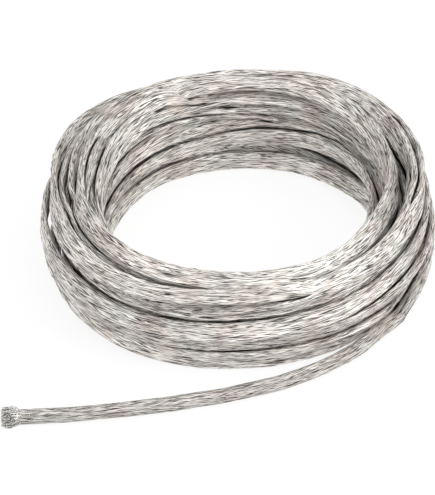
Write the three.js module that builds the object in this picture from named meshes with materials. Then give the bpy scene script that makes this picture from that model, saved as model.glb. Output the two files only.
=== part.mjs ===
// A coil of bare flexible busbar braid: one length of braid, wound by hand into a round coil,
// with its outer end led off along the floor. Millimetres, +Z up, floor at z = 0.
import * as THREE from "three";

// The braid
const pressedWidth = 20.5; // wide face of the braid where the coil presses it flat
const pressedThickness = 6.4;
const looseWidth = 15.5; // height of the same braid where nothing presses it
const looseThickness = 11.8;
const edgePoints = 4; // points on each rounded edge of the section

// The coil
const eyeRadius = 138; // from the coil's middle to the innermost layer
const layerPitch = 6.9;
const rowPitch = 20.9;
const turnGap = 0.3; // clear space that neighbouring turns keep
const stationsPerTurn = 28;
const startAngle = -47; // degrees from +X, seen from above, where each turn starts
const leanPerHeight = -0.06; // the coil's sideways lean along X
const swellTurns = 0.2; // last stretch of the coil, in which the braid takes its loose section

// Where each turn lies, in winding order: layer from the eye and row from the floor
const lay = [
  [1, 0], [2, 0], [2, 1], [1, 2], [3, 1], [2, 2], [3, 2], [1.6, 2.7], [1, 1], [0, 2.1], [4, 2.8],
  [0, 0], [0, 1], [1.5, 3], [4.2, 3], [3, 0], [4, 2], [1.4, 3.3], [4, 0], [4.4, 3.25],
  [4, 1], [5, 2], [5, 0], [5, 1], [5.4, 0],
];
const turns = lay.length - 1;

// A turn crosses over to the next one's place in a part of its way round, each turn at its own spot
const crossingShare = 0.4;
const crossingStart = 0.3; // as shares of the way round, from startAngle
const crossingSpread = 0.3;
const crossingStep = 1.9; // radians between one turn's spot in the spread and the next one's

// How a hand-wound turn wanders from a true circle
const wanderOut = 1.2;
const wanderUp = 3;
const wanderSlope = 12; // degrees
const phaseStep = 2.4; // radians between one turn's wander and the next one's

// The high turns stand on edge at the sides, and lie over towards the front all round
const highFrom = 2; // rows above the floor
const highFull = 3.5;
const highSlope = 70; // degrees, at the front and the back

// Dents and bulges of the whole ring: where, in degrees from +X, how far out, and how far up at the top
const dents = [
  { middle: 58, halfWidth: 30, out: 8, up: 3 },
  { middle: 90, halfWidth: 60, out: 3, up: 2 },
  { middle: 125, halfWidth: 25, out: 2, up: 0 },
  { middle: 160, halfWidth: 40, out: -7, up: 2 },
  { middle: 234, halfWidth: 32, out: 11, up: 0 },
  { middle: 270, halfWidth: 60, out: 0, up: -5 },
  { middle: 300, halfWidth: 25, out: 4, up: 0 },
  { middle: 342, halfWidth: 25, out: -2, up: 0 },
];

// Turns that stand off from the rest: where, in degrees from +X, and how far
const strays = [
  { turn: 0, middle: -18, halfWidth: 30, out: -4, up: 0 },
  { turn: 11, middle: 8, halfWidth: 22, out: 4, up: 0 },
  { turn: 11, middle: 45, halfWidth: 25, out: -6, up: 0 },
  { turn: 11, middle: 105, halfWidth: 45, out: -4, up: 0 },
  { turn: 11, middle: 150, halfWidth: 40, out: -2, up: 0 },
  { turn: 12, middle: 150, halfWidth: 40, out: -4, up: 0 },
  { turn: 13, middle: 12, halfWidth: 30, out: 4, up: 0 },
  { turn: 14, middle: -18, halfWidth: 30, out: -5, up: 0 },
  { turn: 14, middle: 142, halfWidth: 36, out: 8, up: 2 },
  { turn: 17, middle: -18, halfWidth: 30, out: -7, up: 0 },
  { turn: 19, middle: 165, halfWidth: 40, out: -6, up: 0 },
  { turn: 20, middle: 175, halfWidth: 34, out: -8, up: 0 },
  { turn: 21, middle: -18, halfWidth: 30, out: -8, up: 0 },
  { turn: 21, middle: 186, halfWidth: 26, out: 8, up: -2 },
  { turn: 22, middle: 155, halfWidth: 34, out: -11, up: 0 },
  { turn: 22, middle: 200, halfWidth: 22, out: 3, up: 0 },
  { turn: 23, middle: -18, halfWidth: 30, out: -10, up: 0 },
  { turn: 23, middle: 155, halfWidth: 34, out: -11, up: 0 },
  { turn: 23, middle: 200, halfWidth: 22, out: 3, up: 0 },
];

// Settling: the turns push each other clear, while they are held near their places less and less
const settlePasses = [
  { steps: 150, push: 0.18, hold: 0.01, smooth: 0.25 },
  { steps: 200, push: 0.22, hold: 0.002, smooth: 0.12 },
  { steps: 250, push: 0.24, hold: 0, smooth: 0.05 },
  { steps: 80, push: 0.25, hold: 0, smooth: 0 },
];

// The free end lies on the floor, from the coil to its cut. Its route, chosen by hand, is in steps
// along X and Y from the middle of the braid where it leaves the coil.
const freeRoute = [
  [-18, -27], [-38, -54], [-58, -75], [-78, -91], [-97, -103], [-116, -114], [-135, -122],
  [-172, -135], [-212, -146], [-250, -154], [-288, -161], [-326, -166], [-345, -168], [-376, -170],
];
const freeSteps = 36;
const meetingGap = 0.3; // between the coil's last face and the free end's first one
const straightRun = 9; // of the free end as it comes off the coil

const stations = turns * stationsPerTurn;
const discRadius = (pressedThickness + turnGap) / 2;
const discReach = (pressedWidth - pressedThickness) / 2;
const radians = THREE.MathUtils.degToRad;
const mix = THREE.MathUtils.lerp;
const smoothstep = THREE.MathUtils.smoothstep;
const modulo = THREE.MathUtils.euclideanModulo;

function degreesAt(station) {
  return startAngle - (station * 360) / stationsPerTurn;
}

function bell(distance, halfWidth) {
  return Math.exp(-((distance / halfWidth) ** 2));
}

function mixPlaces(from, to, share) {
  return {
    out: mix(from.out, to.out, share),
    up: mix(from.up, to.up, share),
    slope: mix(from.slope, to.slope, share),
  };
}

function placeInLay(turn) {
  const [layer, row] = lay[turn];
  return { out: (layer + 0.5) * layerPitch, up: (row + 0.5) * rowPitch, slope: 0 };
}

function crossedShare(turn, share) {
  const start = crossingStart + crossingSpread * Math.sin(turn * crossingStep);
  return smoothstep(share, start, start + crossingShare);
}

function addWander(place, turn, share) {
  const around = share * 2 * Math.PI;
  const phase = turn * phaseStep;
  place.out += wanderOut * (Math.sin(2 * around + phase) + 0.5 * Math.sin(3 * around + 2 * phase));
  place.up += wanderUp * (Math.sin(around + 1.7 * phase) + 0.5 * Math.sin(3 * around + 3 * phase));
  place.slope += radians(wanderSlope) * Math.sin(2 * around + 2.3 * phase);
}

function addHighSlope(place, station) {
  const high = THREE.MathUtils.clamp((place.up / rowPitch - highFrom) / (highFull - highFrom), 0, 1);
  place.slope += radians(highSlope) * high * Math.sin(radians(degreesAt(station)));
}

function addDents(place, station) {
  const height = place.up / (4 * rowPitch);
  let rise = 0;
  for (const dent of dents) {
    const away = modulo(degreesAt(station) - dent.middle + 180, 360) - 180;
    place.out += dent.out * bell(away, dent.halfWidth);
    rise += dent.up * bell(away, dent.halfWidth);
  }
  place.up += rise * height;
}

function addStrays(place, station) {
  for (const stray of strays) {
    const middle = stray.turn * 360 + modulo(startAngle - stray.middle, 360);
    const share = bell((station * 360) / stationsPerTurn - middle, stray.halfWidth);
    place.out += stray.out * share;
    place.up += stray.up * share;
  }
}

// The route as wound: a place in the coil's cross-section for each station along the braid
function woundRoute() {
  const route = [];
  for (let station = 0; station < stations; station += 1) {
    const turn = Math.floor(station / stationsPerTurn);
    const share = (station % stationsPerTurn) / stationsPerTurn;
    const place = mixPlaces(placeInLay(turn), placeInLay(turn + 1), crossedShare(turn, share));
    addWander(place, turn, share);
    addHighSlope(place, station);
    addDents(place, station);
    addStrays(place, station);
    route.push(place);
  }
  return route;
}

// For settling, the braid's section is a row of three discs
function discsOf(place) {
  return [-1, 0, 1].map((side) => ({
    out: place.out + side * discReach * Math.sin(place.slope),
    up: place.up + side * discReach * Math.cos(place.slope),
  }));
}

function addPushes(total, place, discs, otherDiscs) {
  for (const disc of discs) {
    for (const other of otherDiscs) {
      const out = disc.out - other.out;
      const up = disc.up - other.up;
      const apart = Math.hypot(out, up) + 1e-9;
      const overlap = Math.max(0, 2 * discRadius - apart) / apart;
      total.out += out * overlap;
      total.up += up * overlap;
      total.turning += (out * (disc.up - place.up) - up * (disc.out - place.out)) * overlap;
    }
  }
}

function shiftOf(place, start, discs, others, push) {
  const total = { out: 0, up: 0, turning: 0 };
  for (const other of others) {
    addPushes(total, place, discs, other);
  }
  const lowest = Math.min(...discs.map((disc) => disc.up)) - discRadius;
  const stiffness = 2 * discReach ** 2 + pressedThickness ** 2 / 4;
  return {
    out: place.out + push * total.out - start.out,
    up: place.up + push * total.up + Math.max(0, -lowest) - start.up,
    slope: place.slope + (push * total.turning) / stiffness - start.slope,
  };
}

function settleOnce(route, start, { push, hold, smooth }) {
  const discs = route.map(discsOf);
  const shifts = route.map((place, station) => {
    const others = discs.filter((_, other) => other !== station && (other - station) % stationsPerTurn === 0);
    return shiftOf(place, start[station], discs[station], others, push);
  });
  return shifts.map((shift, station) => {
    const isEnd = station === 0 || station === stations - 1;
    const mean = isEnd ? shift : mixPlaces(shifts[station - 1], shifts[station + 1], 0.5);
    const eased = mixPlaces(shift, mean, smooth);
    return {
      out: start[station].out + eased.out * (1 - hold),
      up: start[station].up + eased.up * (1 - hold),
      slope: start[station].slope + eased.slope * (1 - hold),
    };
  });
}

function settle(start) {
  let route = start;
  for (const pass of settlePasses) {
    for (let step = 0; step < pass.steps; step += 1) {
      route = settleOnce(route, start, pass);
    }
  }
  return route;
}

// The braid's section: a flat oval, thin along x and wide along y
function sectionOutline(width, thickness) {
  const radius = thickness / 2;
  const reach = (width - thickness) / 2;
  const outline = [];
  for (const side of [1, -1]) {
    for (let point = 0; point < edgePoints; point += 1) {
      const angle = (Math.PI * point) / (edgePoints - 1);
      outline.push(new THREE.Vector2(
        side * radius * Math.cos(angle),
        side * (reach + radius * Math.sin(angle)),
      ));
    }
  }
  return outline;
}

// The section's frame at one station. As the braid swells it keeps its inner face in place and
// comes down to lie on the floor.
function frameAt(place, station) {
  const swell = smoothstep(station, stations - swellTurns * stationsPerTurn, stations - 1);
  const width = mix(pressedWidth, looseWidth, swell);
  const thickness = mix(pressedThickness, looseThickness, swell);
  const angle = radians(degreesAt(station));
  const outward = new THREE.Vector3(Math.cos(angle), Math.sin(angle), 0);
  const slope = place.slope * (1 - swell);
  const middle = outward.clone().multiplyScalar(eyeRadius + place.out + (thickness - pressedThickness) / 2);
  middle.z = mix(place.up, looseWidth / 2, swell);
  middle.x += leanPerHeight * middle.z;
  return { middle, outward, slope, width, thickness };
}

function ringAt({ middle, outward, slope, width, thickness }) {
  const upward = new THREE.Vector3(0, 0, 1);
  const thin = outward.clone().multiplyScalar(Math.cos(slope)).addScaledVector(upward, -Math.sin(slope));
  const wide = outward.clone().multiplyScalar(Math.sin(slope)).addScaledVector(upward, Math.cos(slope));
  return sectionOutline(width, thickness).map((point) =>
    middle.clone().addScaledVector(thin, point.x).addScaledVector(wide, point.y));
}

// One closed skin through a row of equal rings of points, with a flat face across each end
function loft(rings) {
  const sides = rings[0].length;
  const last = (rings.length - 1) * sides;
  const index = [];
  for (let start = 0; start < last; start += sides) {
    for (let side = 0; side < sides; side += 1) {
      const here = start + side;
      const beside = start + ((side + 1) % sides);
      index.push(here, beside, here + sides, beside, beside + sides, here + sides);
    }
  }
  for (let side = 1; side + 1 < sides; side += 1) {
    index.push(0, side + 1, side);
    index.push(last, last + side, last + side + 1);
  }
  const positions = rings.flat().flatMap((point) => point.toArray());
  const geometry = new THREE.BufferGeometry();
  geometry.setAttribute("position", new THREE.Float32BufferAttribute(positions, 3));
  geometry.setIndex(index);
  geometry.computeVertexNormals();
  return geometry;
}

function makeCoil(frames) {
  return loft(frames.map(ringAt));
}

// The free end starts square to the coil's last face and is swept along the floor at a constant height
function makeFreeEnd({ middle, outward }) {
  const away = new THREE.Vector3(outward.y, -outward.x, 0);
  const start = middle.clone().addScaledVector(away, meetingGap);
  const straight = start.clone().addScaledVector(away, straightRun);
  const route = freeRoute.map(([x, y]) => new THREE.Vector3(middle.x + x, middle.y + y, middle.z));
  const path = new THREE.CatmullRomCurve3([start, straight, ...route]);
  const outline = sectionOutline(looseWidth, looseThickness);
  const section = new THREE.Shape(outline.map((point) => new THREE.Vector2(point.y, point.x)));
  return new THREE.ExtrudeGeometry(section, { steps: freeSteps, extrudePath: path });
}

const tinnedCopper = new THREE.MeshStandardMaterial({ color: 0xc4bfba, roughness: 0.42, metalness: 1 });
const frames = settle(woundRoute()).map(frameAt);

const coil = new THREE.Mesh(makeCoil(frames), tinnedCopper);
coil.name = "coil";

const freeEnd = new THREE.Mesh(makeFreeEnd(frames.at(-1)), tinnedCopper);
freeEnd.name = "free_end";

// The origin is the middle of the footprint, on the floor
const part = new THREE.Group();
part.add(coil, freeEnd);
const box = new THREE.Box3().setFromObject(part, true);
part.position.set(-(box.min.x + box.max.x) / 2, -(box.min.y + box.max.y) / 2, -box.min.z);

export default part;
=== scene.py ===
# The looks of a coil of bare flexible busbar braid. Metres, +Z up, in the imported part's frame.
import math

import bpy
import numpy as np
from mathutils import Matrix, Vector


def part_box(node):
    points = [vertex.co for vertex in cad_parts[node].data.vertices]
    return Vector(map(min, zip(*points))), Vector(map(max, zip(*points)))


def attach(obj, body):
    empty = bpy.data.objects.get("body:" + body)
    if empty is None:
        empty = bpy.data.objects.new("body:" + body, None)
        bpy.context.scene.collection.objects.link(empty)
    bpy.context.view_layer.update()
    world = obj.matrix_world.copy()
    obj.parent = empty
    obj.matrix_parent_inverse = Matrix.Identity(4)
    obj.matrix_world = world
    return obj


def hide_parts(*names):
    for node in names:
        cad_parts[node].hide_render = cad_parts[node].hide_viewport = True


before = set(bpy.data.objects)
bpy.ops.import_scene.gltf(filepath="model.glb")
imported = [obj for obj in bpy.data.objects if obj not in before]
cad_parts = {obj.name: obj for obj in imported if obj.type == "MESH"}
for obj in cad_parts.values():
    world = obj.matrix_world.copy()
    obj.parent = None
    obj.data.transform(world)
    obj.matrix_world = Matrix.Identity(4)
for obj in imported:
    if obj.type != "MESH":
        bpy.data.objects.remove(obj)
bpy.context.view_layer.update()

# The braid, with the part's own sizes
PRESSED_WIDTH = 0.0205
PRESSED_THICKNESS = 0.0064
LOOSE_WIDTH = 0.0155
LOOSE_THICKNESS = 0.0118

# The coil, with the part's own sizes
EYE_RADIUS = 0.138
LAYER_PITCH = 0.0069
ROW_PITCH = 0.0209
TURN_GAP = 0.0003
STATIONS_PER_TURN = 28
START_ANGLE = -47  # degrees
LEAN_PER_HEIGHT = -0.06
SWELL_TURNS = 0.2
LAY = [
    (1, 0), (2, 0), (2, 1), (1, 2), (3, 1), (2, 2), (3, 2), (1.6, 2.7), (1, 1), (0, 2.1), (4, 2.8),
    (0, 0), (0, 1), (1.5, 3), (4.2, 3), (3, 0), (4, 2), (1.4, 3.3), (4, 0), (4.4, 3.25),
    (4, 1), (5, 2), (5, 0), (5, 1), (5.4, 0),
]
CROSSING_SHARE = 0.4
CROSSING_START = 0.3
CROSSING_SPREAD = 0.3
CROSSING_STEP = 1.9  # radians
WANDER_OUT = 0.0012
WANDER_UP = 0.003
WANDER_SLOPE = 12  # degrees
RIPPLE_SHARE = 0.5  # how high the wander's quicker wave is, beside its slower one
UP_PHASE = 1.7  # times the phase of the wander outward
SLOPE_PHASE = 2.3
PHASE_STEP = 2.4  # radians
HIGH_FROM = 2  # rows
HIGH_FULL = 3.5
HIGH_SLOPE = 70  # degrees
DENT_ROWS = 4  # rows up, at which a dent's rise is the one it names
DENTS = [
    {"middle": 58, "half_width": 30, "out": 0.008, "up": 0.003},
    {"middle": 90, "half_width": 60, "out": 0.003, "up": 0.002},
    {"middle": 125, "half_width": 25, "out": 0.002, "up": 0},
    {"middle": 160, "half_width": 40, "out": -0.007, "up": 0.002},
    {"middle": 234, "half_width": 32, "out": 0.011, "up": 0},
    {"middle": 270, "half_width": 60, "out": 0, "up": -0.005},
    {"middle": 300, "half_width": 25, "out": 0.004, "up": 0},
    {"middle": 342, "half_width": 25, "out": -0.002, "up": 0},
]
STRAYS = [
    {"turn": 0, "middle": -18, "half_width": 30, "out": -0.004, "up": 0},
    {"turn": 11, "middle": 8, "half_width": 22, "out": 0.004, "up": 0},
    {"turn": 11, "middle": 45, "half_width": 25, "out": -0.006, "up": 0},
    {"turn": 11, "middle": 105, "half_width": 45, "out": -0.004, "up": 0},
    {"turn": 11, "middle": 150, "half_width": 40, "out": -0.002, "up": 0},
    {"turn": 12, "middle": 150, "half_width": 40, "out": -0.004, "up": 0},
    {"turn": 13, "middle": 12, "half_width": 30, "out": 0.004, "up": 0},
    {"turn": 14, "middle": -18, "half_width": 30, "out": -0.005, "up": 0},
    {"turn": 14, "middle": 142, "half_width": 36, "out": 0.008, "up": 0.002},
    {"turn": 17, "middle": -18, "half_width": 30, "out": -0.007, "up": 0},
    {"turn": 19, "middle": 165, "half_width": 40, "out": -0.006, "up": 0},
    {"turn": 20, "middle": 175, "half_width": 34, "out": -0.008, "up": 0},
    {"turn": 21, "middle": -18, "half_width": 30, "out": -0.008, "up": 0},
    {"turn": 21, "middle": 186, "half_width": 26, "out": 0.008, "up": -0.002},
    {"turn": 22, "middle": 155, "half_width": 34, "out": -0.011, "up": 0},
    {"turn": 22, "middle": 200, "half_width": 22, "out": 0.003, "up": 0},
    {"turn": 23, "middle": -18, "half_width": 30, "out": -0.010, "up": 0},
    {"turn": 23, "middle": 155, "half_width": 34, "out": -0.011, "up": 0},
    {"turn": 23, "middle": 200, "half_width": 22, "out": 0.003, "up": 0},
]
SETTLE_PASSES = [
    {"steps": 150, "push": 0.18, "hold": 0.01, "smooth": 0.25},
    {"steps": 200, "push": 0.22, "hold": 0.002, "smooth": 0.12},
    {"steps": 250, "push": 0.24, "hold": 0, "smooth": 0.05},
    {"steps": 80, "push": 0.25, "hold": 0, "smooth": 0},
]
FREE_ROUTE = [
    (-0.018, -0.027), (-0.038, -0.054), (-0.058, -0.075), (-0.078, -0.091), (-0.097, -0.103),
    (-0.116, -0.114), (-0.135, -0.122), (-0.172, -0.135), (-0.212, -0.146), (-0.250, -0.154),
    (-0.288, -0.161), (-0.326, -0.166), (-0.345, -0.168), (-0.376, -0.170),
]
STRAIGHT_RUN = 0.009
LINE_STEPS = 8  # rows of the smooth line for each station
TANGENT_STEP = 0.002  # to each side, where the line's direction is measured
PATH_STEP = 0.02  # between the points taken along the cord's line

# The weave
STRIPS = 24  # bundles of wire that run each way round the tube
STRIP_ADVANCE = 0.025  # along the braid, from one crossing strip to the next
FLOAT = 2  # strips that a bundle passes over, then under
STRIP_STEPS = 2  # faces across a strip
WIRES_PER_STRIP = 6
RELIEF_DEPTH = 0.0009
STRIP_WAVE = 0.35  # of the relief, from the strips' passing over and under
STRIP_CROWN = 0.55  # of the relief, from each strip's round section
CORE_DEPTH = 0.0016  # how far the inner wires lie under the crests
CORE_SIDES = 10
CORE_STEP = 0.009
PIECE_TRIANGLES = 190000  # in each length of the skin, at most
# Waves of unevenness: times round the tube, wavelength along the braid, and height
UNEVEN_ROUND = [(3, 0.083, 0.006), (5, -0.051, 0.0036)]  # as shares of the way round
UNEVEN_ALONG = [(2, 0.31, 0.006), (3, -0.23, 0.005), (7, 0.17, 0.0025)]
BULGES = [(1, 0.073, 0.00015), (2, -0.117, 0.00015), (3, 0.049, 0.0001)]  # out of the surface
STRIP_INSET = 0.02  # of a strip's width, which the material leaves out at each edge
GAP_CLEAR = 0.0037  # distance from the next turn at which the painted shade between turns has faded out
LOOSE_SHADE = 0.52  # the shade value that the loose braid's strips keep, which paints them darker than the pressed turns

# The cut
BRUSH_LENGTH = 0.019
BRUSH_FLARE = 0.0042
BRUSH_SETBACK = 0.013
BRUSH_RINGS = [(1, 224), (0.75, 130), (0.5, 90), (0.25, 50), (0.1, 16)]  # share of the section, wires
BRUSH_SEED = 7
WIRE_STEPS = 8
WIRE_SIDES = 4
WIRE_RADIUS = 0.0003
WIRE_TIP = 0.3  # of the wire's radius, as its cut end is drawn in
WIRE_LENGTHS = (0.62, 1.05)  # shortest and longest, as shares of the brush's length
WIRE_FLARES = (0.2, 1)  # smallest and largest, as shares of the brush's flare
WIRE_BENDS = (0.5, 0.95)  # half turns of the flare's wave, at 0.5 without turning back in
WIRE_CURVE = 1.3  # power of the way along a wire, which keeps its start straight
NO_WIRE_DIRECTION = (0.31, 0.17, 0.94)  # one that no wire follows, to set its tube out from

# The colours and surface: the wires' own tone with painted highlights and shade, and painted shade in
# grooves, slits and gaps. Streaks repeat so many times a metre along a strip, and across its width
BUNDLES = {"along": 15, "across": 2.3}
WIRES = {"along": 65, "across": 2.7}
# Slits: thin dark lines between the strips, painted shade
SLITS = {"along": 26, "across": 1.2}
SLIT_OPEN = (0.48, 0.58)  # noise values at which a slit starts to open and is open
SLIT_EDGE = (0.30, 0.44)  # shares of a strip's width from its middle, where a slit starts and is deepest
SLIT_DEPTH = 0.85  # of the relief
PATCHES_PER_METRE = 28
WIRE_SPOTS_PER_METRE = 900
WOVEN_ROUGHNESS = (0.38, 0.55)
WIRE_ROUGHNESS = 0.35
CORE_ROUGHNESS = 0.5
BUMP_STRENGTH = 0.6
BUMP_HEIGHT = 0.00012
BUMP_UNEVENNESS = 2  # of the fine streaks, beside the wires' even wave
# Ramps of (position, colour)
# Streaks of the wires' own tone, partly painted highlights and painted shade along the wires
BUNDLE_TONE_AND_SHEEN_STOPS = [(0.33, (0.12, 0.11, 0.10)), (0.43, (0.82, 0.80, 0.77)), (0.5, (1, 0.985, 0.965))]
FINE_TONE_AND_SHEEN_STOPS = [(0.35, (0.16, 0.15, 0.14)), (0.46, (1, 1, 1))]
# Painted shade in the grooves and open slits, by the weave's relief
GROOVE_SHADING_STOPS = [(0.0, (0.03, 0.028, 0.026)), (0.2, (0.45, 0.44, 0.43)), (0.45, (1, 1, 1))]
# Painted shade in the gaps between turns, and on the loose braid, by the shade values
SHADE_STOPS = [(0.0, (0.005, 0.005, 0.004)), (0.3, (0.28, 0.27, 0.26)), (0.62, (1, 1, 1))]
PATCH_STOPS = [(0.32, (0.92, 0.86, 0.83)), (0.5, (1, 0.98, 0.95)), (0.68, (0.98, 0.98, 0.96))]
WIRE_STOPS = [(0.4, (0.22, 0.21, 0.20)), (0.5, (0.66, 0.65, 0.63)), (0.6, (0.98, 0.97, 0.95))]
# The inner wires under the weave, painted dark as shade
CORE_SHADING_STOPS = [(0.3, (0.06, 0.055, 0.05)), (0.7, (0.12, 0.11, 0.105))]

# The light
WORLD_STRENGTH = 0.9
FLOOR_COLOR = (0.9, 0.9, 0.9)
FLOOR_REACH = 6
FLOOR_WHITE_SHARE = 0.88  # of what the camera sees, the rest being lit and in the object's shadow
LAMPS = [
    {"name": "key", "place": (-1.2, -1.0, 1.6), "size": (1.0, 1.0), "power": 7, "target": (0, 0, 0)},
    {"name": "fill", "place": (1.5, -0.8, 1.0), "size": (0.8, 0.8), "power": 20, "target": (0, 0, 0)},
    {"name": "top", "place": (0.2, 0.4, 1.9), "size": (1.4, 1.4), "power": 10.5, "target": (0, 0, 0)},
]

# The camera, as the photograph frames it
PHOTO_SIZE = (435, 495)  # pixels
PHOTO_SCALE = 0.000968  # metres a pixel, across the coil's middle
EYE_PIXEL = (241.6, 254.8)  # where the coil's axis meets the floor
CAMERA_ELEVATION = 36  # degrees
CAMERA_DISTANCE = 14  # metres, far enough for the photograph's nearly parallel lines
CAMERA_REACH = 4 * CAMERA_DISTANCE  # how far it sees
SENSOR_WIDTH = 36  # millimetres, as Blender's cameras have it


def smooth_share(value, start, end):
    share = np.clip((value - start) / (end - start), 0, 1)
    return share * share * (3 - 2 * share)


def mix(start, end, share):
    return start + (end - start) * share


# The route through the coil: an array of stations by (out, up, slope)

TURNS = len(LAY) - 1
STATIONS = TURNS * STATIONS_PER_TURN
DISC_RADIUS = (PRESSED_THICKNESS + TURN_GAP) / 2
DISC_REACH = (PRESSED_WIDTH - PRESSED_THICKNESS) / 2
NO_DISTANCE = 1e-12  # in place of 0, which can't divide, from a disc to itself


def bell(distance, half_width):
    return np.exp(-((distance / half_width) ** 2))


def crossed_share(turn, share):
    start = CROSSING_START + CROSSING_SPREAD * np.sin(turn * CROSSING_STEP)
    return smooth_share(share, start, start + CROSSING_SHARE)


def wander(turn, share):
    around = share * 2 * np.pi
    phase = turn * PHASE_STEP
    out = WANDER_OUT * (np.sin(2 * around + phase) + RIPPLE_SHARE * np.sin(3 * around + 2 * phase))
    up = WANDER_UP * (np.sin(around + UP_PHASE * phase) + RIPPLE_SHARE * np.sin(3 * around + 3 * phase))
    slope = math.radians(WANDER_SLOPE) * np.sin(2 * around + SLOPE_PHASE * phase)
    return np.stack([out, up, slope], axis=1)


def dented(route, degrees):
    height = route[:, 1] / (DENT_ROWS * ROW_PITCH)
    rise = np.zeros(STATIONS)
    for dent in DENTS:
        away = (degrees - dent["middle"] + 180) % 360 - 180
        share = bell(away, dent["half_width"])
        route[:, 0] += dent["out"] * share
        rise += dent["up"] * share
    route[:, 1] += rise * height


def strayed(route, station):
    for stray in STRAYS:
        middle = stray["turn"] * 360 + (START_ANGLE - stray["middle"]) % 360
        share = bell(station * 360 / STATIONS_PER_TURN - middle, stray["half_width"])
        route[:, 0] += stray["out"] * share
        route[:, 1] += stray["up"] * share


def wound_route():
    station = np.arange(STATIONS)
    turn = station // STATIONS_PER_TURN
    share = (station % STATIONS_PER_TURN) / STATIONS_PER_TURN
    degrees = START_ANGLE - station * 360 / STATIONS_PER_TURN
    lay = np.array(LAY)
    out = (lay[:, 0] + 0.5) * LAYER_PITCH
    up = (lay[:, 1] + 0.5) * ROW_PITCH
    places = np.column_stack([out, up, np.zeros(len(lay))])
    crossed = crossed_share(turn, share)[:, None]
    route = mix(places[turn], places[turn + 1], crossed) + wander(turn, share)
    high = np.clip((route[:, 1] / ROW_PITCH - HIGH_FROM) / (HIGH_FULL - HIGH_FROM), 0, 1)
    route[:, 2] += math.radians(HIGH_SLOPE) * high * np.sin(np.radians(degrees))
    dented(route, degrees)
    strayed(route, station)
    return route


def shifts_of(route, start, push):
    by_turn = route.reshape(TURNS, STATIONS_PER_TURN, 3)
    slope = by_turn[..., 2]
    wide = np.stack([np.sin(slope), np.cos(slope)], axis=-1)
    arms = DISC_REACH * np.array([-1, 0, 1])[:, None] * wide[..., None, :]
    discs = by_turn[..., None, :2] + arms
    apart = discs[:, None, :, :, None] - discs[None, :, :, None, :]
    distance = np.sqrt((apart**2).sum(axis=-1)) + NO_DISTANCE
    overlap = np.clip(2 * DISC_RADIUS - distance, 0, None)
    same = np.arange(TURNS)
    overlap[same, same] = 0
    pushes = (apart * (overlap / distance)[..., None]).sum(axis=(1, 4))
    turning = (pushes[..., 0] * arms[..., 1] - pushes[..., 1] * arms[..., 0]).sum(axis=-1)
    stiffness = 2 * DISC_REACH**2 + PRESSED_THICKNESS**2 / 4
    sunk = np.clip(DISC_RADIUS - discs[..., 1].min(axis=-1), 0, None)
    moved = by_turn.copy()
    moved[..., :2] += push * pushes.sum(axis=2)
    moved[..., 1] += sunk
    moved[..., 2] += push * turning / stiffness
    return moved.reshape(-1, 3) - start


def settle(start):
    route = start.copy()
    for settings in SETTLE_PASSES:
        for _ in range(settings["steps"]):
            shifts = shifts_of(route, start, settings["push"])
            means = shifts.copy()
            means[1:-1] = (shifts[:-2] + shifts[2:]) / 2
            eased = mix(shifts, means, settings["smooth"])
            route = start + eased * (1 - settings["hold"])
    return route


# The section's frame along the whole braid: middle, wide direction, width and thickness

def coil_frames(route):
    station = np.arange(STATIONS)
    swell = smooth_share(station, STATIONS - SWELL_TURNS * STATIONS_PER_TURN, STATIONS - 1)
    width = mix(PRESSED_WIDTH, LOOSE_WIDTH, swell)
    thickness = mix(PRESSED_THICKNESS, LOOSE_THICKNESS, swell)
    angle = np.radians(START_ANGLE - station * 360 / STATIONS_PER_TURN)
    outward = np.stack([np.cos(angle), np.sin(angle), np.zeros(STATIONS)], axis=1)
    upward = np.array([0, 0, 1])
    radius = EYE_RADIUS + route[:, 0] + (thickness - PRESSED_THICKNESS) / 2
    middle = outward * radius[:, None]
    middle[:, 2] = mix(route[:, 1], LOOSE_WIDTH / 2, swell)
    middle[:, 0] += LEAN_PER_HEIGHT * middle[:, 2]
    slope = (route[:, 2] * (1 - swell))[:, None]
    wide = outward * np.sin(slope) + upward * np.cos(slope)
    thin = outward * np.cos(slope) - upward * np.sin(slope)
    return {"middle": middle, "wide": wide, "thin": thin, "width": width, "thickness": thickness}


def footprint_shift(frames):
    """How far the part's own footprint lies from the coil as wound round its eye."""
    edge = frames["wide"] * (frames["width"] / 2)[:, None]
    side = frames["thin"] * (frames["thickness"] / 2)[:, None]
    corners = np.concatenate([frames["middle"] + sign * reach for reach in (edge, side) for sign in (-1, 1)])
    own_middle = (corners.min(axis=0) + corners.max(axis=0)) / 2
    low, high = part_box("coil")
    shift = (np.array(low) + np.array(high)) / 2 - own_middle
    return np.array([shift[0], shift[1], 0])


def whole_frames(frames, shift):
    leaving = frames["middle"][-1]
    ahead = leaving - frames["middle"][-2]
    straight = STRAIGHT_RUN * ahead[:2] / np.linalg.norm(ahead[:2])
    free = leaving + np.array([(x, y, 0) for x, y in [straight, *FREE_ROUTE]])
    middle = np.concatenate([frames["middle"], free]) + shift
    wide = np.concatenate([frames["wide"], np.tile([0, 0, 1.0], (len(free), 1))])
    width = np.concatenate([frames["width"], np.full(len(free), LOOSE_WIDTH)])
    thickness = np.concatenate([frames["thickness"], np.full(len(free), LOOSE_THICKNESS)])
    return np.column_stack([middle, wide, width, thickness])


def smooth_through(points, steps):
    """A Catmull-Rom curve through the points, with that many steps between each two."""
    padded = np.concatenate([2 * points[:1] - points[1:2], points, 2 * points[-1:] - points[-2:-1]])
    before, start, end, after = padded[:-3], padded[1:-2], padded[2:-1], padded[3:]
    rows = []
    for step in range(steps):
        t = step / steps
        rows.append(
            0.5 * (
                2 * start
                + (end - before) * t
                + (2 * before - 5 * start + 4 * end - after) * t**2
                + (3 * start - before - 3 * end + after) * t**3
            )
        )
    inner = np.stack(rows, axis=1).reshape(-1, points.shape[1])
    return np.concatenate([inner, points[-1:]])


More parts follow.
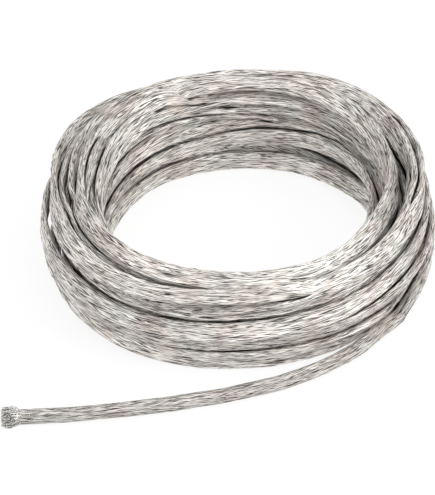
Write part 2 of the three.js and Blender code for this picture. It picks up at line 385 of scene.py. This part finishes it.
class Line:
    """The braid's centreline with its section, by distance along it."""

    def __init__(self, frames):
        self.rows = smooth_through(frames, LINE_STEPS)
        gaps = np.linalg.norm(np.diff(self.rows[:, :3], axis=0), axis=1)
        self.distance = np.concatenate([[0], np.cumsum(gaps)])
        self.length = self.distance[-1]

    def at(self, distance):
        return np.stack([np.interp(distance, self.distance, column) for column in self.rows.T], axis=-1)

    def at_station(self, station):
        row = np.arange(len(self.rows))
        return np.stack([np.interp(station * LINE_STEPS, row, column) for column in self.rows.T], axis=-1)

    def station(self, distance):
        return np.interp(distance, self.distance, np.arange(len(self.rows))) / LINE_STEPS

    def sections(self, distance):
        here = self.at(distance)
        ahead = self.at(distance + TANGENT_STEP)[..., :3]
        behind = self.at(distance - TANGENT_STEP)[..., :3]
        along = unit(ahead - behind)
        wide = here[..., 3:6]
        wide = unit(wide - along * (wide * along).sum(axis=-1, keepdims=True))
        thin = np.cross(wide, along)
        return here[..., :3], along, wide, thin, here[..., 6], here[..., 7]


def unit(vectors):
    return vectors / np.linalg.norm(vectors, axis=-1, keepdims=True)


def oval(share, width, thickness, sink):
    """Points of the flat oval by share of its way round, sunk under its surface."""
    radius = thickness / 2
    reach = (width - thickness) / 2
    way = (share % 1) * (4 * reach + 2 * np.pi * radius)
    face, edge = 2 * reach, np.pi * radius
    first = way < face
    top = (way >= face) & (way < face + edge)
    second = (way >= face + edge) & (way < 2 * face + edge)
    angle = np.where(top, (way - face) / radius, (way - 2 * face) / radius)
    angle = np.where(first, 0, np.where(second, np.pi, angle))
    centre = np.where(top, reach, -reach)
    centre = np.where(first, way - reach, np.where(second, reach - (way - face - edge), centre))
    return (radius - sink) * np.cos(angle), centre + (radius - sink) * np.sin(angle)


def skin_points(line, distance, share, sink):
    middle, _, wide, thin, width, thickness = line.sections(distance)
    x, y = oval(share, width, thickness, sink)
    return middle + thin * x[..., None] + wide * y[..., None]


def arms_to(points, rows):
    """From the middle of each row's rounded section to the point beside it."""
    wide = rows[:, 3:6]
    reach = (rows[:, 6] - rows[:, 7]) / 2
    arms = points - rows[:, :3]
    along = np.clip((arms * wide).sum(axis=1), -reach, reach)
    return arms - wide * along[:, None]


def clearance(line, points, distance):
    """How far each point of the skin lies from the nearest other turn that it faces."""
    station = line.station(distance)
    outward = unit(arms_to(points, line.at_station(station)))
    nearest = np.full(len(points), GAP_CLEAR)
    for turns_away in [*range(1 - TURNS, 0), *range(1, TURNS)]:
        other = station + turns_away * STATIONS_PER_TURN
        there = (other >= 0) & (other < STATIONS)
        rows = line.at_station(other[there])
        arms = arms_to(points[there], rows)
        length = np.linalg.norm(arms, axis=1)
        behind = np.clip((arms * outward[there]).sum(axis=1) / length, 0, 1)
        gap = length - rows[:, 7] / 2 + GAP_CLEAR * behind
        nearest[there] = np.minimum(nearest[there], gap)
    return nearest


def shade_of(line, points, distance):
    """Painted shade: 1 where the skin is open, less in the gaps between turns where shade falls, and less
    where the braid is loose, which paints it darker.
    """
    looseness = (line.at(distance)[:, 7] - PRESSED_THICKNESS) / (LOOSE_THICKNESS - PRESSED_THICKNESS)
    return smooth_share(clearance(line, points, distance), 0, GAP_CLEAR) * mix(1, LOOSE_SHADE, looseness)


def add_values(obj, name, values):
    attribute = obj.data.attributes.new(name, "FLOAT", "POINT")
    attribute.data.foreach_set("value", values.astype(np.float32).ravel())


def make_object(name, points, faces):
    mesh = bpy.data.meshes.new(name)
    mesh.vertices.add(len(points))
    mesh.vertices.foreach_set("co", np.asarray(points, dtype=np.float32).ravel())
    mesh.loops.add(faces.size)
    mesh.loops.foreach_set("vertex_index", faces.astype(np.int32).ravel())
    mesh.polygons.add(len(faces))
    starts = np.arange(len(faces), dtype=np.int32) * faces.shape[1]
    mesh.polygons.foreach_set("loop_start", starts)
    mesh.polygons.foreach_set("use_smooth", np.ones(len(faces), dtype=bool))
    mesh.update(calc_edges=True)
    mesh.validate()
    obj = bpy.data.objects.new(name, mesh)
    bpy.context.scene.collection.objects.link(obj)
    return obj


def make_core(line):
    rows = int(line.length / CORE_STEP) + 1
    distance = np.linspace(0, line.length, rows)[:, None].repeat(CORE_SIDES, axis=1)
    share = (np.arange(CORE_SIDES) / CORE_SIDES)[None, :].repeat(rows, axis=0)
    points = skin_points(line, distance, share, CORE_DEPTH).reshape(-1, 3)
    row, side = np.meshgrid(np.arange(rows - 1), np.arange(CORE_SIDES), indexing="ij")
    beside = (side + 1) % CORE_SIDES
    here = row * CORE_SIDES
    there = here + CORE_SIDES
    faces = np.stack([here + side, here + beside, there + beside, there + side], axis=-1)
    return make_object("core", points, faces.reshape(-1, 4))


# The weave's own coordinates: one counts the strips that run one way, the other those that cross them

def relief(one, other):
    """How high the upper strip stands, from 0 in the grooves to 1 on the crests."""
    wave_one = np.cos(np.pi * (np.floor(one) + other - 1) / FLOAT)
    wave_other = -np.cos(np.pi * (np.floor(other) + one - 1) / FLOAT)
    height_one = STRIP_WAVE * wave_one - STRIP_CROWN * (2 * (one % 1) - 1) ** 2
    height_other = STRIP_WAVE * wave_other - STRIP_CROWN * (2 * (other % 1) - 1) ** 2
    height = np.maximum(height_one, height_other) + 1 - STRIP_WAVE
    return np.clip(height, 0, 1), height_one >= height_other


def unevenness(waves, share, distance):
    """How far the strips wander from an even weave."""
    total = 0
    for times, wavelength, height in waves:
        total = total + height * np.sin(2 * np.pi * (times * share + distance / wavelength))
    return total


def make_weave(line, name, first_row, last_row):
    """The skin of strips between two rows of the lattice, as one piece."""
    around = STRIPS * STRIP_STEPS
    row_step = STRIP_ADVANCE / (2 * STRIP_STEPS)
    row, place = np.meshgrid(np.arange(first_row, last_row + 1), np.arange(around), indexing="ij")
    one = place / STRIP_STEPS
    other = (place + row) / STRIP_STEPS
    share = (one + other) / (2 * STRIPS)
    even = row * row_step
    height, _ = relief(one, other)
    distance = np.clip(even + unevenness(UNEVEN_ALONG, share, even), 0, line.length)
    share = share + unevenness(UNEVEN_ROUND, share, even)
    sink = RELIEF_DEPTH * (1 - height) - unevenness(BULGES, share, distance)
    points = skin_points(line, distance, share, sink).reshape(-1, 3)
    points[:, 2] = np.maximum(points[:, 2], 0)
    rows = last_row - first_row + 1
    inner, side = np.meshgrid(np.arange(1, rows - 1), np.arange(around), indexing="ij")
    beside = (side + 1) % around
    corners = [(inner, side), (inner - 1, beside), (inner, beside), (inner + 1, side)]
    faces = np.stack([r * around + c for r, c in corners], axis=-1).reshape(-1, 4)
    obj = make_object(name, points, faces)
    add_weave_coordinates(obj, inner + first_row, side, row_step)
    add_values(obj, "relief", height)
    # The painted shade of the gaps between turns, and of the loose braid
    add_values(obj, "shade", shade_of(line, points, distance.ravel()))
    return obj


def add_weave_coordinates(obj, row, place, row_step):
    """UV: the distance along the braid, and the number of the upper strip with the share of its width."""
    middle_one = (place + 0.5) / STRIP_STEPS
    middle_other = (place + row + 0.5) / STRIP_STEPS
    _, one_is_over = relief(middle_one, middle_other)
    strip_one = np.floor(middle_one)
    strip_other = np.floor(middle_other)
    columns = []
    for step_one, step_other in ((0, 0), (1, 0), (1, 1), (0, 1)):
        cross_one = (place + step_one) / STRIP_STEPS - strip_one
        cross_other = (place + row + step_other) / STRIP_STEPS - strip_other
        across_one = strip_one + mix(STRIP_INSET, 1 - STRIP_INSET, cross_one)
        across_other = STRIPS + strip_other % STRIPS + mix(STRIP_INSET, 1 - STRIP_INSET, cross_other)
        across = np.where(one_is_over, across_one, across_other)
        along = (row + step_other - step_one) * row_step
        columns.append(np.stack([along, across], axis=-1))
    corners = np.stack(columns, axis=-2).reshape(-1, 2)
    layer = obj.data.uv_layers.new(name="weave")
    layer.data.foreach_set("uv", corners.astype(np.float32).ravel())


def make_weaves(line):
    around = STRIPS * STRIP_STEPS
    rows = int(line.length / STRIP_ADVANCE * 2 * STRIP_STEPS) + 1
    rows_per_piece = PIECE_TRIANGLES // (2 * around)
    weaves = []
    for number, first_row in enumerate(range(0, rows, rows_per_piece)):
        last_row = min(first_row + rows_per_piece + 1, rows)
        weaves.append(make_weave(line, f"weave_{number + 1}", first_row, last_row))
    return weaves


# The cut: every bundle's wires splay from the braid's end

def make_wire(start, along, outward, sideways, generator):
    """The centreline of one wire, from inside the weave to its curled tip, kept above the floor."""
    t = np.linspace(0, 1, WIRE_STEPS + 1)[:, None]
    length = BRUSH_LENGTH * generator.uniform(*WIRE_LENGTHS)
    flare = BRUSH_FLARE * generator.uniform(*WIRE_FLARES)
    curl = generator.uniform(-1, 1)
    bend = generator.uniform(*WIRE_BENDS)
    out = flare * np.sin(np.pi * bend * t**WIRE_CURVE)
    points = start + along * length * t + outward * out + sideways * curl * flare * t**2
    points[:, 2] = np.maximum(points[:, 2], WIRE_RADIUS)
    return points


def tube_of(points, radius, sides):
    """A tube round the points, drawn in at its tip."""
    along = unit(np.gradient(points, axis=0))
    first = unit(np.cross(along, NO_WIRE_DIRECTION))
    second = np.cross(along, first)
    angle = np.arange(sides) / sides * 2 * np.pi
    ring = first[:, None] * np.cos(angle)[:, None] + second[:, None] * np.sin(angle)[:, None]
    sizes = np.full((len(points), 1, 1), radius)
    sizes[-1] *= WIRE_TIP
    return (points[:, None] + sizes * ring).reshape(-1, 3)


def brush_ring(line, size, count, generator):
    """Wires round one ring of the braid's section, as tubes of points."""
    share = np.arange(count) / count
    middle, along, wide, thin, width, thickness = line.sections(np.full(count, line.length - BRUSH_SETBACK))
    x, y = oval(share, width, thickness, RELIEF_DEPTH)
    reach = (thin * x[:, None] + wide * y[:, None]) * size
    outward = unit(reach)
    sideways = np.cross(along, outward)
    wires = []
    for number in range(count):
        start = middle[number] + reach[number]
        wire = make_wire(start, along[number], outward[number], sideways[number], generator)
        wires.append(tube_of(wire, WIRE_RADIUS, WIRE_SIDES))
    return wires


def make_brush(line):
    generator = np.random.default_rng(BRUSH_SEED)
    wires = [wire for size, count in BRUSH_RINGS for wire in brush_ring(line, size, count, generator)]
    rows, side = np.meshgrid(np.arange(WIRE_STEPS), np.arange(WIRE_SIDES), indexing="ij")
    here = rows * WIRE_SIDES
    there = here + WIRE_SIDES
    beside = (side + 1) % WIRE_SIDES
    tube = np.stack([here + side, here + beside, there + beside, there + side], axis=-1).reshape(-1, 4)
    faces = [tube + number * len(wires[0]) for number in range(len(wires))]
    return make_object("cut_wires", np.concatenate(wires), np.concatenate(faces))


# Materials

def new_material(name):
    material = bpy.data.materials.new(name)
    material.use_nodes = True
    nodes = material.node_tree.nodes
    shader = nodes["Principled BSDF"]
    return material, nodes, material.node_tree.links, shader


def math_node(nodes, links, operation, first, second):
    node = nodes.new("ShaderNodeMath")
    node.operation = operation
    for socket, value in zip(node.inputs, (first, second)):
        if isinstance(value, (int, float)):
            socket.default_value = value
        else:
            links.new(value, socket)
    return node.outputs[0]


def noise_node(nodes, links, vector, scale, detail):
    node = nodes.new("ShaderNodeTexNoise")
    node.inputs["Scale"].default_value = scale
    node.inputs["Detail"].default_value = detail
    links.new(vector, node.inputs["Vector"])
    return node.outputs["Fac"]


def ramp_node(nodes, links, factor, stops):
    node = nodes.new("ShaderNodeValToRGB")
    ramp = node.color_ramp
    ramp.elements[0].position, ramp.elements[0].color = stops[0][0], (*stops[0][1], 1)
    ramp.elements[1].position, ramp.elements[1].color = stops[-1][0], (*stops[-1][1], 1)
    for position, color in stops[1:-1]:
        ramp.elements.new(position).color = (*color, 1)
    links.new(factor, node.inputs["Fac"])
    return node.outputs["Color"]


def multiply_node(nodes, links, first, second):
    node = nodes.new("ShaderNodeMix")
    node.data_type = "RGBA"
    node.blend_type = "MULTIPLY"
    node.inputs["Factor"].default_value = 1
    links.new(first, node.inputs["A"])
    links.new(second, node.inputs["B"])
    return node.outputs["Result"]


def streak_noise(nodes, links, along, across, repeats):
    """Noise drawn out along the strips."""
    place = nodes.new("ShaderNodeCombineXYZ")
    links.new(math_node(nodes, links, "MULTIPLY", along, repeats["along"]), place.inputs["X"])
    links.new(math_node(nodes, links, "MULTIPLY", across, repeats["across"]), place.inputs["Y"])
    return noise_node(nodes, links, place.outputs[0], scale=1, detail=1)


def value_node(nodes, name):
    node = nodes.new("ShaderNodeAttribute")
    node.attribute_name = name
    return node.outputs["Fac"]


def share_node(nodes, links, value, start, end):
    node = nodes.new("ShaderNodeMapRange")
    node.inputs["From Min"].default_value = start
    node.inputs["From Max"].default_value = end
    links.new(value, node.inputs["Value"])
    return node.outputs["Result"]


def groove_height(nodes, links, across, slits):
    """The weave's relief, less the slits between the strips, which are open in some places only: the height
    by which shade is painted into the grooves and slits.
    """
    height = value_node(nodes, "relief")
    from_middle = math_node(nodes, links, "SUBTRACT", math_node(nodes, links, "FRACT", across, 0), 0.5)
    edge = share_node(nodes, links, math_node(nodes, links, "ABSOLUTE", from_middle, 0), *SLIT_EDGE)
    opened = share_node(nodes, links, slits, *SLIT_OPEN)
    depth = math_node(nodes, links, "MULTIPLY", math_node(nodes, links, "MULTIPLY", edge, opened), SLIT_DEPTH)
    return math_node(nodes, links, "SUBTRACT", height, depth)


def add_wire_bump(nodes, links, shader, across, fine):
    rows = math_node(nodes, links, "MULTIPLY", across, 2 * math.pi * WIRES_PER_STRIP)
    wave = math_node(nodes, links, "SINE", rows, 0)
    uneven = math_node(nodes, links, "MULTIPLY", fine, BUMP_UNEVENNESS)
    wires = math_node(nodes, links, "ADD", wave, uneven)
    bump = nodes.new("ShaderNodeBump")
    bump.inputs["Strength"].default_value = BUMP_STRENGTH
    bump.inputs["Distance"].default_value = BUMP_HEIGHT
    links.new(wires, bump.inputs["Height"])
    links.new(bump.outputs["Normal"], shader.inputs["Normal"])


def woven_copper():
    """Tinned copper strips: fine wires; streaks along them of the wires' tone, partly painted highlights and
    shade; painted shade in the grooves, slits and gaps between turns; and paler and darker patches.
    """
    material, nodes, links, shader = new_material("woven_tinned_copper")
    uv = nodes.new("ShaderNodeUVMap")
    uv.uv_map = "weave"
    split = nodes.new("ShaderNodeSeparateXYZ")
    links.new(uv.outputs["UV"], split.inputs[0])
    along, across = split.outputs["X"], split.outputs["Y"]
    bundles = streak_noise(nodes, links, along, across, BUNDLES)
    fine = streak_noise(nodes, links, along, across, WIRES)
    slits = streak_noise(nodes, links, along, across, SLITS)
    place = nodes.new("ShaderNodeTexCoord")
    patches = noise_node(nodes, links, place.outputs["Object"], PATCHES_PER_METRE, detail=2)
    # Streaks of the wires' tone with painted highlights and shade, then painted shade in grooves, slits and
    # gaps, then patches of tint
    color = ramp_node(nodes, links, bundles, BUNDLE_TONE_AND_SHEEN_STOPS)
    layers = [
        (fine, FINE_TONE_AND_SHEEN_STOPS),
        # painted shade in the grooves and slits
        (groove_height(nodes, links, across, slits), GROOVE_SHADING_STOPS),
        # painted shade in the gaps between turns, and darker on the loose braid
        (value_node(nodes, "shade"), SHADE_STOPS),
        (patches, PATCH_STOPS),
    ]
    for value, stops in layers:
        color = multiply_node(nodes, links, color, ramp_node(nodes, links, value, stops))
    links.new(color, shader.inputs["Base Color"])
    shader.inputs["Metallic"].default_value = 1
    rough = nodes.new("ShaderNodeMapRange")
    rough.inputs["To Min"].default_value, rough.inputs["To Max"].default_value = WOVEN_ROUGHNESS
    links.new(fine, rough.inputs["Value"])
    links.new(rough.outputs["Result"], shader.inputs["Roughness"])
    add_wire_bump(nodes, links, shader, across, fine)
    return material


def wire_copper(name, stops, roughness):
    """Single tinned copper wires, and the inner ones under the weave, whose dark colour is painted shade."""
    material, nodes, links, shader = new_material(name)
    place = nodes.new("ShaderNodeTexCoord")
    spots = noise_node(nodes, links, place.outputs["Object"], WIRE_SPOTS_PER_METRE, detail=2)
    links.new(ramp_node(nodes, links, spots, stops), shader.inputs["Base Color"])
    shader.inputs["Metallic"].default_value = 1
    shader.inputs["Roughness"].default_value = roughness
    return material


def seen_ray(nodes, links):
    """1 for the rays of the camera and those that metal or glass sends on, otherwise 0."""
    rays = nodes.new("ShaderNodeLightPath")
    seen = math_node(nodes, links, "MAXIMUM", rays.outputs["Is Camera Ray"], rays.outputs["Is Glossy Ray"])
    return math_node(nodes, links, "MAXIMUM", seen, rays.outputs["Is Transmission Ray"])


def floor_material():
    """A white floor that the camera and the metal see as white, less the object's shadow."""
    material, nodes, links, shader = new_material("pale_floor")
    shader.inputs["Base Color"].default_value = (*FLOOR_COLOR, 1)
    shader.inputs["Roughness"].default_value = 1
    shader.inputs["Specular IOR Level"].default_value = 0
    white = nodes.new("ShaderNodeEmission")
    white.inputs["Strength"].default_value = 1
    share = math_node(nodes, links, "MULTIPLY", seen_ray(nodes, links), FLOOR_WHITE_SHARE)
    mixed = nodes.new("ShaderNodeMixShader")
    links.new(share, mixed.inputs["Fac"])
    links.new(shader.outputs["BSDF"], mixed.inputs[1])
    links.new(white.outputs["Emission"], mixed.inputs[2])
    links.new(mixed.outputs["Shader"], nodes["Material Output"].inputs["Surface"])
    return material


# The studio

def make_world():
    world = bpy.data.worlds.new("studio")
    bpy.context.scene.world = world
    world.use_nodes = True
    nodes, links = world.node_tree.nodes, world.node_tree.links
    light = nodes["Background"]
    light.inputs["Color"].default_value = (1, 1, 1, 1)
    light.inputs["Strength"].default_value = WORLD_STRENGTH
    white = nodes.new("ShaderNodeBackground")
    white.inputs["Strength"].default_value = 1
    mixed = nodes.new("ShaderNodeMixShader")
    links.new(seen_ray(nodes, links), mixed.inputs["Fac"])
    links.new(light.outputs["Background"], mixed.inputs[1])
    links.new(white.outputs["Background"], mixed.inputs[2])
    links.new(mixed.outputs["Shader"], nodes["World Output"].inputs["Surface"])


def make_lamp(name, place, size, power, target):
    data = bpy.data.lights.new(name, "AREA")
    data.shape = "RECTANGLE"
    data.size, data.size_y = size
    data.energy = power
    lamp = bpy.data.objects.new(name, data)
    lamp.location = place
    lamp.rotation_euler = (Vector(target) - Vector(place)).to_track_quat("-Z", "Y").to_euler()
    bpy.context.scene.collection.objects.link(lamp)


def make_floor():
    corners = [(-1, -1), (1, -1), (1, 1), (-1, 1)]
    points = [(x * FLOOR_REACH, y * FLOOR_REACH, 0) for x, y in corners]
    floor = make_object("floor", points, np.array([[0, 1, 2, 3]]))
    floor.data.materials.append(floor_material())


def make_camera(eye):
    """A long lens, looking at the middle of the photograph's frame."""
    elevation = math.radians(CAMERA_ELEVATION)
    right = (PHOTO_SIZE[0] / 2 - EYE_PIXEL[0]) * PHOTO_SCALE
    ahead = (EYE_PIXEL[1] - PHOTO_SIZE[1] / 2) * PHOTO_SCALE / math.sin(elevation)
    aim = Vector((eye[0] + right, eye[1] + ahead, 0))
    away = Vector((0, -math.cos(elevation), math.sin(elevation))) * CAMERA_DISTANCE
    data = bpy.data.cameras.new("camera")
    data.sensor_fit = "HORIZONTAL"
    data.sensor_width = SENSOR_WIDTH
    data.lens = SENSOR_WIDTH * CAMERA_DISTANCE / (PHOTO_SIZE[0] * PHOTO_SCALE)
    data.clip_end = CAMERA_REACH
    camera = bpy.data.objects.new("camera", data)
    camera.location = aim + away
    camera.rotation_euler = (-away).to_track_quat("-Z", "Y").to_euler()
    bpy.context.scene.collection.objects.link(camera)
    bpy.context.scene.camera = camera
    bpy.context.scene.view_settings.view_transform = "Standard"


def dress(line):
    core = make_core(line)
    # the inner wires, painted dark as shade under the weave
    core.data.materials.append(wire_copper("inner_copper_painted_shade", CORE_SHADING_STOPS, CORE_ROUGHNESS))
    weaves = make_weaves(line)
    woven = woven_copper()
    for weave in weaves:
        weave.data.materials.append(woven)
    brush = make_brush(line)
    brush.data.materials.append(wire_copper("tinned_copper_wire", WIRE_STOPS, WIRE_ROUGHNESS))
    for piece in [core, brush, *weaves]:
        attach(piece, "root")
        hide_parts("coil", "free_end")
    path = line.at(np.linspace(0, line.length, int(line.length / PATH_STEP)))[:, :3]


coil = coil_frames(settle(wound_route()))
eye = footprint_shift(coil)
braid = Line(whole_frames(coil, eye))
make_camera(eye)
make_world()
make_floor()
for lamp in LAMPS:
    make_lamp(**lamp)
dress(braid)
